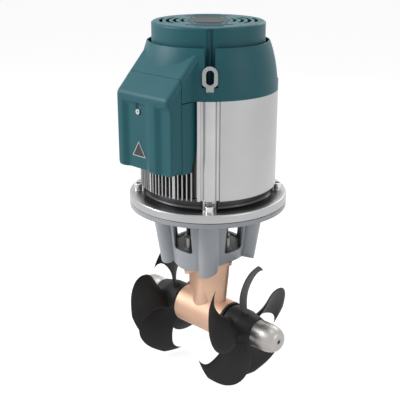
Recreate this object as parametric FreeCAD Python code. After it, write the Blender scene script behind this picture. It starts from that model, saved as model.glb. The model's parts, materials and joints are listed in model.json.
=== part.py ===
import FreeCAD, Part
import math
import os

from FreeCAD import Placement, Rotation, Vector

# Twin-propeller bow thruster: electric motor, cast bracket, gear leg and two skewed propellers.
# Millimetres. The origin is where the motor axis (Z, up) meets the propeller axis (X).
# The terminal box faces -Y, and the four columns of the motor and bracket stand on the diagonals.

# ---- driving dimensions -------------------------------------------------------------------
TUNNEL_R = 132.0          # outer radius of the tunnel that the bracket is bolted over
DIAGONALS = (45, 135, 225, 315)
QUARTERS = (0, 90, 180, 270)

PROP_R = 123.0            # propeller tip radius, for a 250 mm tunnel
PROP_X = 98.0             # middle of the right propeller's blades
BLADES = 5
BLADE_START = 84.2        # angle of the first blade from +Y towards +Z
HUB_X = (69.0, 134.0)     # ends of the right hub
HUB_BORE_R = 12.5
ANODE_END_X = 187.0
ANODE_R = 27.0

HOUSE_R = 38.5            # gear house
HOUSE_X = (-57.0, 62.0)
LEFT_SHIFT = 5.0          # the left propeller sits this much nearer the motor axis
SHAFT_R = 12.5            # propeller shaft
STRUT_CHORD, STRUT_THICK = 100.0, 46.0
STRUT_SHIFT = (0.0, 1.5, 3.5)   # the strut leans a little towards +X as it rises

PINION_TEETH, GEAR_TEETH = 13, 23
GEAR_R = 28.0             # crown gear's outer pitch radius
FACE_WIDTH = 9.0
BACKLASH = 0.35

FLOOR_Z = (136.0, 150.0)  # bracket floor
WINDOW_W, WINDOW_Z = 48.0, (152.0, 237.0)
FLANGE_R = 150.0
JOINT_Z = 247.0           # bracket to motor flange
GASKET_T = 1.2
FLANGE_TOP_Z = 262.0
FLANGE_BOLT_R = 132.5     # pitch circle radius of the 265 mm flange
SPIGOT_R = 115.0

FRAME_Z = (280.0, 460.0)
FRAME_R = 128.5           # over the fins
CORE_R = 112.0
STATOR_R = 104.0
COLUMN_R, COLUMN_AT = 16.0, 113.0
PANEL_T = 1.5
PANEL_HALF = 36.9         # half angle that a side panel covers
CORNER_FIN = 36.4         # flat bar beside each column, on the terminal box side

SHROUD_TOP_Z = 547.0
SHROUD_T = 3.0
CAP_R, CAP_TOP_Z, CAP_T = 103.0, 581.0, 2.5
CAP_FOOT_Z = 474.0
FAN_R = 87.0
LUG_R, LUG_T = 125.0, 6.0
LUGS_AT = (135, 315)
LUG_SHANK_R, LUG_SHANK_AT = 4.0, 122.5
BOSS_TOP_Z = 476.0        # top of the shroud's bosses over the columns

BOX_HALF = 67.5           # terminal box, along X
BOX_FRONT_Y, BOX_SEAM_Y = -167.0, -135.0
BOX_SEAL_T = 0.6
BOX_BACK_Y = BOX_SEAM_Y + BOX_SEAL_T
BOX_Z = (334.0, 458.4)
BEND_Z = 469.0            # where the front face turns into the slope
SLOPE = 0.985
BOX_WALL = 4.0
BOX_CHEEK_Y = -99.0       # how far the base's two sides reach back past the fins
RECESS_DEPTH = 6.5
SCREW_X, SCREW_Z = -14.0, 438.0        # cover screw
ENTRY_X, ENTRY_Y, ENTRY_Z = (-70.5, -63.5), -120.8, (372.0, 402.0)   # M16 cable entries
ENTRY_R = 8.1
TERMINAL_Z = (381.0, 399.5, 418.0, 436.5)

# bracket, leg and their fasteners
STUDS_AT = ((52.0, 0.0), (0.0, -52.0), (-52.0, 0.0), (0.0, 52.0))
STUD_R = 4.0
SADDLE_T, LEG_FLANGE_T, LEG_LOBE_R = 6.0, 7.0, 9.5
CAP_RIM = 4.8
COUPLING_Z = (158.0, 182.0, 194.0, 222.0)
PINION_R = GEAR_R * PINION_TEETH / GEAR_TEETH

# blade tables: shares of the span, half angles in degrees, and millimetres
BLADE_ROOT_R = 31.0
SHARES = (0.0, 0.3, 0.6, 0.8, 0.92, 0.98, 1.0)
LEADING = (21.0, 38.0, 34.9, 25.5, 14.0, 1.0, -13.0)     # degrees from the blade's middle line
TRAILING = (-27.0, -13.5, -15.8, -20.0, -25.5, -30.0, -32.5)
TIP_DROP = 6.0                                  # how far the trailing corner of the tip falls back
PITCH = ((0.0, 0.5, 1.0), (52.0, 27.0, 18.9))
RAKE = ((0.0, 0.5, 1.0), (0.0, -1.4, 9.0))
THICK = ((0.0, 0.4, 0.93, 1.0), (8.5, 5.5, 3.6, 0.0))
STATIONS = ((0.0, 0.0), (0.02, 0.6), (0.2, 1.0), (0.4, 1.05), (0.6, 1.0), (0.8, 0.9), (0.98, 0.55),
            (1.0, 0.0))                         # share of the chord, share of the thickness
BLADE_ROWS = (0.0, 0.15, 0.3, 0.45, 0.6, 0.74, 0.85, 0.93, 0.98, 1.0)


# ---- small helpers --------------------------------------------------------------------------
def box(x0, x1, y0, y1, z0, z1):
    return Part.makeBox(x1 - x0, y1 - y0, z1 - z0, Vector(x0, y0, z0))


def rod(radius, z0, z1, x=0.0, y=0.0):
    return Part.makeCylinder(radius, z1 - z0, Vector(x, y, z0), Vector(0, 0, 1))


def tube(outer, inner, z0, z1, x=0.0, y=0.0):
    return rod(outer, z0, z1, x, y).cut(rod(inner, z0 - 1, z1 + 1, x, y))


def xrod(radius, x0, x1, y=0.0, z=0.0):
    return Part.makeCylinder(radius, x1 - x0, Vector(x0, y, z), Vector(1, 0, 0))


def xtube(outer, inner, x0, x1):
    return xrod(outer, x0, x1).cut(xrod(inner, x0 - 1, x1 + 1))


def outline(points):
    """A closed wire through (u, v) or (u, v, corner radius), as Vectors (u, 0, v)."""
    corners = [Vector(p[0], 0, p[1]) for p in points]
    radii = [p[2] if len(p) > 2 else 0.0 for p in points]
    count = len(points)
    starts, ends, arcs = [], [], []
    for i in range(count):
        here = corners[i]
        back = (corners[i - 1] - here).normalize()
        ahead = (corners[(i + 1) % count] - here).normalize()
        if radii[i] == 0.0:
            starts.append(here)
            ends.append(here)
            arcs.append(None)
            continue
        half = back.getAngle(ahead) / 2
        reach = radii[i] / math.tan(half)
        bisector = (back + ahead).normalize()
        middle = here + bisector * (radii[i] / math.sin(half) - radii[i])
        starts.append(here + back * reach)
        ends.append(here + ahead * reach)
        arcs.append(Part.Arc(starts[-1], middle, ends[-1]).toShape())
    edges = []
    for i in range(count):
        if arcs[i]:
            edges.append(arcs[i])
        after = starts[(i + 1) % count]
        if (after - ends[i]).Length > 1e-6:
            edges.append(Part.LineSegment(ends[i], after).toShape())
    return Part.Wire(edges)


def turned(points):
    """Revolve an (r, z) outline about Z."""
    return Part.Face(outline(points)).revolve(Vector(0, 0, 0), Vector(0, 0, 1), 360)


def turned_x(points):
    """Revolve an (r, x) outline about X."""
    shape = turned(points)
    shape.Placement = Placement(Vector(0, 0, 0), Rotation(Vector(0, 1, 0), 90))
    return shape


def extruded_x(points, x0, x1):
    """Extrude a (y, z) outline along X."""
    shape = Part.Face(outline(points)).extrude(Vector(0, x1 - x0, 0))
    shape.Placement = Placement(Vector(x0, 0, 0), Rotation(Vector(0, 0, 1), -90))
    flip = shape.mirror(Vector(0, 0, 0), Vector(0, 1, 0))
    return flip


def at_angle(shape, degrees):
    copy = shape.copy()
    copy.rotate(Vector(0, 0, 0), Vector(0, 0, 1), degrees)
    return copy


def about_x(shape, degrees):
    copy = shape.copy()
    copy.rotate(Vector(0, 0, 0), Vector(1, 0, 0), degrees)
    return copy


def ring_of(shape, angles):
    return [at_angle(shape, a) for a in angles]


def join(shapes):
    whole = shapes[0].multiFuse(shapes[1:])
    return whole.removeSplitter()


def save(name, *shapes):
    shape = shapes[0] if len(shapes) == 1 else Part.makeCompound(list(shapes))
    solids = shape.Solids
    shape = solids[0] if len(solids) == 1 else Part.makeCompound(solids)
    shape.exportStep(f"parts/{name}.step")
    print(name, "solids", len(solids), "volume", round(shape.Volume), "valid", shape.isValid())


# ---- fan cover and upper shroud ---------------------------------------------------------------
def arc_slot(radius, width, half_angle, z0, z1):
    """A slot along an arc centred on +X, with square ends."""
    ring = tube(radius + width / 2, radius - width / 2, z0, z1)
    reach = 2 * radius
    across = math.tan(math.radians(half_angle)) * reach
    wedge = Part.Face(Part.makePolygon([
        Vector(0, 0, z0), Vector(reach, -across, z0), Vector(reach, across, z0), Vector(0, 0, z0)]))
    return ring.common(wedge.extrude(Vector(0, 0, z1 - z0)))


def fan_cover():
    inner = CAP_R - CAP_T
    shell = turned([(0, CAP_TOP_Z), (CAP_R, CAP_TOP_Z, 5), (CAP_R, CAP_FOOT_Z), (inner, CAP_FOOT_Z),
                    (inner, CAP_TOP_Z - CAP_T, 3), (0, CAP_TOP_Z - CAP_T)])
    pillar = rod(9, CAP_FOOT_Z, CAP_TOP_Z - CAP_T, CAP_R - 3, 0).common(rod(CAP_R, 400, 600))
    groove = rod(5.8, CAP_FOOT_Z - 1, CAP_TOP_Z - 3, CAP_R + 1, 0)
    slots = [arc_slot(r, 6.5, half, CAP_TOP_Z - 5, CAP_TOP_Z + 1)
             for r, half in ((48, 29), (61.5, 32), (74, 34), (86, 17))]
    shell = join([shell] + ring_of(pillar, DIAGONALS))
    shell = shell.cut(ring_of(groove, DIAGONALS))
    return shell.cut([at_angle(s, a) for s in slots for a in DIAGONALS])


def cover_screws():
    head = turned([(0, 0), (3.4, 0), (3.4, 1.4, 0.8), (0, 2.2)])
    head.translate(Vector(43.5, 0, CAP_TOP_Z))
    return ring_of(head, QUARTERS)


def bell(offset):
    """The shroud's outer skin moved in by offset, as a solid of revolution."""
    points = [(FRAME_R, 460), (125, 493), (118, 527.7), (111.5, SHROUD_TOP_Z)]
    curve = Part.BSplineCurve()
    curve.interpolate([Vector(r - offset, 0, z) for r, z in points])
    z0, z1 = points[0][1], points[-1][1]
    wire = Part.Wire([
        Part.LineSegment(Vector(0, 0, z0), Vector(points[0][0] - offset, 0, z0)).toShape(),
        curve.toShape(),
        Part.LineSegment(Vector(points[-1][0] - offset, 0, z1), Vector(0, 0, z1)).toShape(),
        Part.LineSegment(Vector(0, 0, z1), Vector(0, 0, z0)).toShape()])
    return Part.Face(wire).revolve(Vector(0, 0, 0), Vector(0, 0, 1), 360)


def slope_z(y):
    return BEND_Z + SLOPE * (y - BOX_FRONT_Y)


def upper_shroud():
    """A bell over the fan, run out over the terminal box as a sloped hood."""
    hood_y = -90.0
    hood = extruded_x([(BOX_BACK_Y, 460), (BOX_BACK_Y, slope_z(BOX_BACK_Y)),
                       (hood_y, slope_z(hood_y)), (hood_y, 460)], -BOX_HALF, BOX_HALF)
    hood = round_hood_edges(hood)
    hollow = extruded_x([(BOX_BACK_Y + 3, 450), (BOX_BACK_Y + 3, slope_z(BOX_BACK_Y + 3) - 5),
                         (hood_y, slope_z(hood_y) - 5), (hood_y, 450)], -BOX_HALF + 4, BOX_HALF - 4)
    boss = rod(COLUMN_R, 460, BOSS_TOP_Z, COLUMN_AT, 0).cut(rod(118.3, 450, 480))
    shell = join([bell(0), hood])
    inner = bell(SHROUD_T)
    cavity = join([inner, rod(FRAME_R - SHROUD_T, 440, 461)])
    shell = shell.cut(cavity.fuse(hollow.cut(bell(0))))
    shell = join([shell] + ring_of(boss, DIAGONALS))
    rim = box(104, 140, -9, 9, 520, SHROUD_TOP_Z + 5)
    back = LUG_R - LUG_T / 2 - 0.4
    slot = box(107.6, 140, -9, 9, 490, SHROUD_TOP_Z + 5).fuse(box(back, 140, -13.8, 13.8, 483.0, 507.0))
    eye = Part.makeCylinder(13.8, 20, Vector(back, 0, 506), Vector(1, 0, 0))
    neck = box(back + 0.2, 140, -7.6, 7.6, BOSS_TOP_Z, 484)
    shank = rod(LUG_SHANK_R, 450, BOSS_TOP_Z + 1, LUG_SHANK_AT, 0)
    keyhole = slot.multiFuse([eye, neck, shank])
    open_top = rod(108.2, SHROUD_TOP_Z - 10, SHROUD_TOP_Z + 2)
    return shell.cut(ring_of(rim, DIAGONALS)).cut(ring_of(keyhole, LUGS_AT)).cut(open_top)


def round_hood_edges(shape, radius=9.0):
    """Round the long edges where the slope meets the two sides."""
    chosen = []
    for edge in shape.Edges:
        a, b = edge.Vertexes[0].Point, edge.Vertexes[-1].Point
        sloped = abs(a.z - b.z) > 5 and abs(a.y - b.y) > 5
        if sloped and abs(a.x) > BOX_HALF - 1:
            chosen.append(edge)
    return shape.makeFillet(radius, chosen)


def lifting_lug():
    """A flat ring plate that stands on the column and leans on the shroud's slot."""
    ring_z, half = (485.0, 519.0), 13.2
    plate = box(0, LUG_T, -half, half, ring_z[0], ring_z[1] - half)
    plate = plate.fuse(Part.makeCylinder(half, LUG_T, Vector(0, 0, ring_z[1] - half), Vector(1, 0, 0)))
    corners = [e for e in plate.Edges if abs(e.BoundBox.ZMin - ring_z[0]) < 0.01
               and e.BoundBox.ZMax - ring_z[0] < 0.01 and e.BoundBox.XLength > LUG_T - 0.1]
    plate = plate.removeSplitter().makeChamfer(4.5, corners)
    neck = box(0, LUG_T, -6.75, 6.75, BOSS_TOP_Z, ring_z[0] + 1)
    shank = rod(LUG_SHANK_R, FRAME_Z[1] - 20, BOSS_TOP_Z, LUG_SHANK_AT - LUG_R + LUG_T / 2, 0)
    hole_r = 6.9
    hole = box(-1, LUG_T + 1, -hole_r, hole_r, 487.5 + hole_r, 513.4 - hole_r)
    for z in (487.5 + hole_r, 513.4 - hole_r):
        hole = hole.fuse(Part.makeCylinder(hole_r, LUG_T + 2, Vector(-1, 0, z), Vector(1, 0, 0)))
    lug = plate.multiFuse([neck, shank]).cut(hole).removeSplitter()
    lug.translate(Vector(LUG_R - LUG_T / 2, 0, 0))
    return lug


# ---- motor --------------------------------------------------------------------------------------
def fin(angle, thick, tip_r):
    blade = box(CORE_R - 1.5, tip_r, -thick / 2, thick / 2, *FRAME_Z)
    return at_angle(blade.common(rod(tip_r, *FRAME_Z)), angle)


def motor_frame():
    body = tube(CORE_R, STATOR_R, *FRAME_Z)
    column = rod(COLUMN_R, *FRAME_Z, COLUMN_AT, 0).cut(rod(STATOR_R + 1, 270, 470))
    parts = [body] + ring_of(column, DIAGONALS)
    box_side = [-30.4 + 3.8 * i for i in range(17)]
    wide = (-11.4, 15.2)
    for a in box_side:
        near = min(abs(a - w) for w in wide)
        parts.append(fin(270 + a, 5.5 if near < 1 else 2.0, FRAME_R))
    parts += [fin(270 + a, 5.6, FRAME_R) for a in (-CORNER_FIN, CORNER_FIN)]
    for side in (0, 90, 180):
        for i in range(-4, 5):
            edge = abs(i) == 4
            parts.append(fin(side + i * 8.7, 3.0 if edge else 2.5, FRAME_R - PANEL_T))
    pedestal = box(-34, 34, BOX_BACK_Y + BOX_WALL, -CORE_R + 8, 348, 450)
    frame = join(parts + [pedestal])
    room = [box(*x, -140, BOX_CHEEK_Y - 0.4, BOX_Z[0] - 1, BOX_Z[1] + 1)
            for x in ((-68.3, -62.7), (62.7, 68.3))]
    frame = frame.cut([box(-20, 20, -140, -90, 375, 425)] + room)
    shank = rod(LUG_SHANK_R, FRAME_Z[1] - 21, FRAME_Z[1] + 1, LUG_SHANK_AT, 0)
    return frame.cut(rod(STATOR_R, *FRAME_Z)).cut(ring_of(shank, LUGS_AT))


def side_panel(angle):
    sheet = tube(FRAME_R, FRAME_R - PANEL_T, *FRAME_Z)
    reach = 2 * FRAME_R
    across = math.tan(math.radians(PANEL_HALF)) * reach
    wedge = Part.Face(Part.makePolygon([
        Vector(0, 0, 0), Vector(reach, -across, 0), Vector(reach, across, 0), Vector(0, 0, 0)]))
    sheet = sheet.common(wedge.extrude(Vector(0, 0, 600)))
    lip = box(FRAME_R - 7, FRAME_R - PANEL_T / 2, -0.7, 0.7, *FRAME_Z).cut(
        rod(FRAME_R - 6, *FRAME_Z))
    lips = [at_angle(lip, s * (PANEL_HALF - 0.35)) for s in (-1, 1)]
    return at_angle(join([sheet] + lips), angle)


def motor_end_shield():
    """Flanged drive-end shield: spigot, flange, recessed neck and bearing housing."""
    body = turned([(22, JOINT_Z - 4), (SPIGOT_R, JOINT_Z - 4), (SPIGOT_R, JOINT_Z),
                   (FLANGE_R, JOINT_Z), (FLANGE_R, FLANGE_TOP_Z, 2.5), (118, FLANGE_TOP_Z, 5),
                   (118, FRAME_Z[0]), (STATOR_R, FRAME_Z[0]), (STATOR_R, FRAME_Z[0] + 4),
                   (99, FRAME_Z[0] + 4), (99, 256, 5), (56, 256, 5), (56, 278), (45, 278),
                   (45, 253), (38, 253), (38, 252), (22, 252)])
    boss = rod(COLUMN_R, FLANGE_TOP_Z - 1, FRAME_Z[0], COLUMN_AT, 0).cut(rod(100, 200, 300))
    boss = boss.cut(rod(10.5, 200, 300, FLANGE_BOLT_R, 0))
    hole = rod(6.75, 200, 300, FLANGE_BOLT_R, 0)
    return join([body] + ring_of(boss, DIAGONALS)).cut(ring_of(hole, DIAGONALS))


def rear_end_shield():
    """Lid under the fan, with a bearing housing and a spigot into the frame."""
    body = turned([(16, 468), (28, 468), (28, 467), (36, 467), (36, 446), (44, 446), (44, 464, 4), (98, 464, 3),
                   (98, 456), (STATOR_R, 456), (STATOR_R, 460), (118, 460), (118, CAP_FOOT_Z),
                   (16, CAP_FOOT_Z)])
    windows = [at_angle(rod(7, 450, 480, 84, 0), a) for a in range(0, 360, 30)]
    return body.cut(windows)


def sealed_bearing(bore_r, outer_r, z0, z1):
    """Outer ring with its seals, and inner ring, both as solids on the Z axis."""
    rim = (outer_r - bore_r) * 0.24
    mid = (outer_r + bore_r) / 2
    outer = turned([(outer_r, z0), (outer_r, z1), (outer_r - rim, z1), (outer_r - rim, z1 - 1),
                    (mid - rim, z1 - 1), (mid - rim, z1 - 2.2), (outer_r - rim, z1 - 2.2),
                    (outer_r - rim, z0 + 2.2), (mid - rim, z0 + 2.2), (mid - rim, z0 + 1),
                    (outer_r - rim, z0 + 1), (outer_r - rim, z0)])
    inner = tube(mid - rim - 0.4, bore_r, z0, z1)
    return outer, inner


def on_x(shape, x=0.0):
    """Lay a shape made on the Z axis along X."""
    copy = shape.copy()
    copy.rotate(Vector(0, 0, 0), Vector(0, 1, 0), 90)
    copy.translate(Vector(x, 0, 0))
    return copy


def stator_core():
    ring = tube(STATOR_R, 62, 315, 425)
    slot = box(66, 86, -2.6, 2.6, 314, 426)
    mouth = box(60, 67, -1.2, 1.2, 314, 426)
    slots = [at_angle(slot.fuse(mouth), a) for a in range(0, 360, 15)]
    return ring.cut(slots)


def stator_windings():
    """Copper end turns above and below the core, and the coil sides in its slots."""
    side = box(67.5, 85.6, -2.2, 2.2, 314.5, 425.5)
    sides = [at_angle(side, a) for a in range(0, 360, 15)]
    low = turned([(66, 294, 4), (90, 294, 4), (88, 315), (66, 315)])
    high = turned([(66, 425), (88, 425), (90, 443, 4), (66, 443, 4)])
    return join([low, high] + sides)


def motor_shaft():
    return turned([(0, 194), (18, 194), (19, 195), (19, 249), (20, 249), (20, 276), (24, 276),
                   (24, 312), (22, 312), (22, 428), (20, 428), (20, 447.7), (15, 447.7),
                   (15, 520), (14, 521), (0, 521)])


def rotor():
    core = tube(61.2, 22, 315, 425)
    rings = [tube(58, 40, 306, 315), tube(58, 40, 425, 434)]
    vane = box(42, 57, -1.5, 1.5, 298, 307)
    top_vane = vane.translated(Vector(0, 0, 135))
    vanes = [at_angle(v, a) for v in (vane, top_vane) for a in range(0, 360, 45)]
    return join([core] + rings + vanes)


def cooling_fan():
    hub = tube(24, 15, 488, 514)
    plate = turned([(23, 488), (FAN_R, 484), (FAN_R, 486), (23, 491)])
    blade = box(20, FAN_R - 1, -1.5, 1.5, 485.2, 512).cut(
        turned([(60, 514), (FAN_R, 500), (FAN_R, 514)]))
    return join([hub, plate] + [at_angle(blade, a) for a in range(0, 360, 45)])


def shaft_clip():
    return tube(19, 15, 514, 516)


# ---- terminal box --------------------------------------------------------------------------------
def terminal_box_base():
    low, top = BOX_Z
    block = extruded_x([(BOX_BACK_Y, low), (BOX_BACK_Y, top), (BOX_CHEEK_Y, top), (BOX_CHEEK_Y, 392),
                        (-102.5, 370), (-114, low)], -BOX_HALF, BOX_HALF)
    pocket = extruded_x([(BOX_BACK_Y + BOX_WALL, low + 4), (BOX_BACK_Y + BOX_WALL, top - 4),
                         (-90, top - 4), (-90, 374), (-116, low + 4)],
                        -BOX_HALF + BOX_WALL, BOX_HALF - BOX_WALL)
    collars = [xrod(ENTRY_R + 2.9, ENTRY_X[0], 1 - BOX_HALF, ENTRY_Y, z) for z in ENTRY_Z]
    entries = [xrod(ENTRY_R, ENTRY_X[0] - 1, ENTRY_X[1] + 1, ENTRY_Y, z) for z in ENTRY_Z]
    cable_way = box(-20, 20, -140, -120, 375, 425)
    motor = rod(FRAME_R + 0.3, 300, 500).common(box(-63.2, 63.2, -200, 0, 300, 500))
    screw_hole = Part.makeCylinder(2.5, 6, Vector(SCREW_X, BOX_BACK_Y - 1, SCREW_Z), Vector(0, 1, 0))
    return block.fuse(collars).cut(motor).cut(pocket).cut([cable_way, screw_hole] + entries)


def box_profile(inset, front_inset, bend_round):
    """Side outline of the cover, from the seam to the front face."""
    front = BOX_FRONT_Y + front_inset
    top_at_front = slope_z(front) - inset * math.hypot(1, SLOPE)
    top_at_seam = slope_z(BOX_SEAM_Y) - inset * math.hypot(1, SLOPE)
    return [(BOX_SEAM_Y, BOX_Z[0] + inset), (BOX_SEAM_Y, top_at_seam),
            (front, top_at_front, bend_round), (front, BOX_Z[0] + inset, bend_round / 4)]


def recess(x0, x1, flank, top_z, left_flank=True, right_flank=True):
    """A tapered hollow in the front face whose upper end runs out gently."""
    face_y = BOX_FRONT_Y - 0.5
    floor_y = BOX_FRONT_Y + RECESS_DEPTH
    deep0 = x0 + (flank if left_flank else 0)
    deep1 = x1 - (flank if right_flank else 0)
    extra = flank * 0.5 / RECESS_DEPTH

    def section(z, floor):
        share = (floor - face_y) / (floor_y - face_y)
        a = x0 - extra + (deep0 - x0 + extra) * share
        b = x1 + extra + (deep1 - x1 - extra) * share
        return Part.makePolygon([Vector(x0 - extra, face_y, z), Vector(x1 + extra, face_y, z),
                                 Vector(b, floor, z), Vector(a, floor, z),
                                 Vector(x0 - extra, face_y, z)])
    return Part.makeLoft([section(BOX_Z[0] - 5, floor_y), section(top_z - 9, floor_y),
                          section(top_z, face_y + 0.4)], True, True)


def terminal_box_cover():
    body = extruded_x(box_profile(0, 0, 12), -BOX_HALF, BOX_HALF)
    sides = [e for e in body.Edges
             if abs(abs(e.CenterOfMass.x) - BOX_HALF) < 0.01 and e.CenterOfMass.y < BOX_SEAM_Y - 0.5
             and e.CenterOfMass.z > BOX_Z[0] + 4]
    body = body.makeFillet(9, sides)
    hollow = extruded_x(box_profile(BOX_WALL, RECESS_DEPTH + 3, 6),
                        -BOX_HALF + BOX_WALL, BOX_HALF - BOX_WALL)
    hollow = hollow.fuse(box(-BOX_HALF + BOX_WALL, BOX_HALF - BOX_WALL, BOX_SEAM_Y - 1,
                             BOX_SEAM_Y + 5, BOX_Z[0] + BOX_WALL, 480))
    body = body.cut(recess(-50, 17, 11, 458))
    body = body.cut(recess(33, 80, 11, 458, right_flank=False))
    body = body.cut(hollow)
    pillar = Part.makeCylinder(9, 24, Vector(SCREW_X, BOX_SEAM_Y, SCREW_Z), Vector(0, -1, 0))
    body = body.fuse(pillar)
    pocket = [Part.makeCylinder(6, 9, Vector(SCREW_X, BOX_FRONT_Y + 1, z), Vector(0, 1, 0))
              for z in (SCREW_Z, SCREW_Z + 9)]
    pocket.append(box(SCREW_X - 6, SCREW_X + 6, BOX_FRONT_Y + 1, BOX_FRONT_Y + 10,
                      SCREW_Z, SCREW_Z + 9))
    screw_hole = Part.makeCylinder(2.7, 60, Vector(SCREW_X, BOX_FRONT_Y, SCREW_Z), Vector(0, 1, 0))
    return body.cut(pocket + [screw_hole])


def box_seal():
    """Flat seal between the cover and the parts behind it."""
    def sheet(inset, y0, y1):
        return extruded_x([(y0, BOX_Z[0] + inset), (y0, slope_z(BOX_SEAM_Y) - 1.5 * inset),
                           (y1, slope_z(BOX_SEAM_Y) - 1.5 * inset), (y1, BOX_Z[0] + inset)],
                          -BOX_HALF + inset, BOX_HALF - inset)
    return sheet(0.6, BOX_SEAM_Y, BOX_BACK_Y).cut(sheet(BOX_WALL, BOX_SEAM_Y - 1, BOX_BACK_Y + 1))


def cover_screw():
    head = Part.makeCylinder(4.75, 5.5, Vector(SCREW_X, BOX_FRONT_Y + 10, SCREW_Z), Vector(0, -1, 0))
    key = hexagon_prism(2.3, 3.5)
    key.rotate(Vector(0, 0, 0), Vector(1, 0, 0), -90)
    key.translate(Vector(SCREW_X, BOX_FRONT_Y + 3, SCREW_Z))
    shank = Part.makeCylinder(2.5, 26, Vector(SCREW_X, BOX_FRONT_Y + 9, SCREW_Z), Vector(0, 1, 0))
    return head.fuse(shank).cut(key).removeSplitter()


def hexagon_prism(apothem, height):
    corner = apothem / math.cos(math.radians(30))
    ring = [Vector(corner * math.cos(math.radians(a)), corner * math.sin(math.radians(a)), 0)
            for a in range(0, 361, 60)]
    return Part.Face(Part.makePolygon(ring)).extrude(Vector(0, 0, height))


def triangle_plate():
    """A small plain plate bonded in the cover's centre recess."""
    y = BOX_FRONT_Y + RECESS_DEPTH
    return Part.Face(Part.makePolygon([
        Vector(-31.2, y, 357.2), Vector(3.4, y, 357.2), Vector(-13.9, y, 385.5),
        Vector(-31.2, y, 357.2)])).extrude(Vector(0, -0.6, 0))


def terminal_block():
    block = box(10, 58, BOX_BACK_Y - 14, BOX_BACK_Y, 372, 446)
    gaps = [box(8, 60, BOX_BACK_Y - 20, BOX_BACK_Y - 9, z - 1.2, z + 1.2) for z in (390.5, 409, 427.5)]
    return block.cut(gaps)


def terminal_studs():
    studs = []
    for z in TERMINAL_Z:
        for x in (23, 45):
            stud = turned([(0, 0), (2.5, 0), (2.5, 2), (5, 2), (5, 6), (2.5, 6), (2.5, 8), (0, 8)])
            stud.rotate(Vector(0, 0, 0), Vector(1, 0, 0), 90)
            stud.translate(Vector(x, BOX_BACK_Y - 14, z))
            studs.append(stud)
    return studs


# ---- bracket and its fasteners -----------------------------------------------------------------
def bracket_column():
    """Slanted half-round column, leaning out towards the flange."""
    low = Part.Wire(Part.Circle(Vector(72, 0, 108), Vector(0, 0, 1), 18.5).toShape())
    top = Part.Wire(Part.Circle(Vector(91, 0, 240), Vector(0, 0, 1), 20).toShape())
    return Part.makeLoft([low, top], True, True)


def motor_bracket():
    """Cast bracket: tunnel saddle, floor, four windows, four columns and the motor flange."""
    flange_z = (WINDOW_Z[1], JOINT_Z - GASKET_T)
    skin = turned([(0, 105), (66.5, 105), (75, 190), (79, flange_z[0]), (FLANGE_R, flange_z[0]),
                   (FLANGE_R, flange_z[1], 1), (0, flange_z[1])])
    body = skin.multiFuse(ring_of(bracket_column(), DIAGONALS))
    body = body.cut(xrod(TUNNEL_R, -120, 120))
    inside = turned([(0, FLOOR_Z[1]), (63, FLOOR_Z[1], 1.5), (68, 190), (70, 260), (0, 260)])
    seat = rod(SPIGOT_R + 0.1, JOINT_Z - 4.6, 260)
    body = body.cut(inside).cut(seat)
    return body.cut(ring_of(bracket_window(), QUARTERS)).cut(bracket_bores())


def bracket_window():
    half = WINDOW_W / 2
    face = Part.Face(outline([(-half, WINDOW_Z[0], 5), (half, WINDOW_Z[0], 5),
                              (half, WINDOW_Z[1], 2), (-half, WINDOW_Z[1], 2)]))
    prism = face.extrude(Vector(0, 55, 0))
    prism.translate(Vector(0, 45, 0))
    return prism


def bracket_bores():
    bores = [rod(30.2, 100, 200)]
    bores += [rod(STUD_R + 0.3, 100, 160, x, y) for x, y in STUDS_AT]
    tapped = rod(5.1, JOINT_Z - 12, JOINT_Z + 1, FLANGE_BOLT_R, 0)
    return bores + ring_of(tapped, DIAGONALS)


def flange_gasket():
    ring = tube(FLANGE_R - 0.8, SPIGOT_R + 0.1, JOINT_Z - GASKET_T, JOINT_Z)
    return ring.cut(ring_of(rod(6.75, 200, 300, FLANGE_BOLT_R, 0), DIAGONALS))


def cap_screw(radius, head_r, head_h, key, length):
    """Socket cap screw, head up, with its seat at z = 0."""
    screw = turned([(0, -length), (radius, -length), (radius, 0), (head_r, 0),
                    (head_r, head_h, 0.8), (0, head_h)])
    socket = hexagon_prism(key / 2, head_h)
    socket.translate(Vector(0, 0, head_h * 0.45))
    return screw.cut(socket)


def flange_bolts():
    bolt = cap_screw(5.0, 9, 12, 10, FLANGE_TOP_Z - JOINT_Z + GASKET_T + 8)
    bolt.translate(Vector(FLANGE_BOLT_R, 0, FLANGE_TOP_Z))
    return ring_of(bolt, DIAGONALS)


def leg_washers():
    return [tube(8.5, STUD_R + 0.3, FLOOR_Z[1], FLOOR_Z[1] + 2, x, y) for x, y in STUDS_AT]


def leg_nuts():
    """Tall round nuts with a hexagon socket, drawn up on the leg's studs."""
    nut = tube(5.8, STUD_R, 0, 16).fuse(tube(5.8, 3.2, 15, 23)).removeSplitter()
    return [nut.translated(Vector(x, y, FLOOR_Z[1] + 2)) for x, y in STUDS_AT]


def leg_studs():
    return [rod(STUD_R, 108 if abs(y) > 1 else 119.5, FLOOR_Z[1] + 17, x, y) for x, y in STUDS_AT]


def lobed_plate(margin):
    """Upright prism round the four studs, a square with rounded corners on the X and Y axes."""
    reach = STUDS_AT[0][0] + math.sqrt(2) * (LEG_LOBE_R + margin)
    corners = [(reach, 0, LEG_LOBE_R), (0, reach, LEG_LOBE_R), (-reach, 0, LEG_LOBE_R),
               (0, -reach, LEG_LOBE_R)]
    face = Part.Face(outline(corners))
    face.rotate(Vector(0, 0, 0), Vector(1, 0, 0), -90)
    face.translate(Vector(0, 0, 90))
    return face.extrude(Vector(0, 0, 60))


def saddle_gasket():
    pad = lobed_plate(0.6).common(
        xrod(TUNNEL_R, -90, 90).cut(xrod(TUNNEL_R - SADDLE_T, -90, 90)))
    return pad.cut([rod(30.2, 80, 150)] + [rod(STUD_R + 0.3, 80, 150, x, y) for x, y in STUDS_AT])


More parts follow.
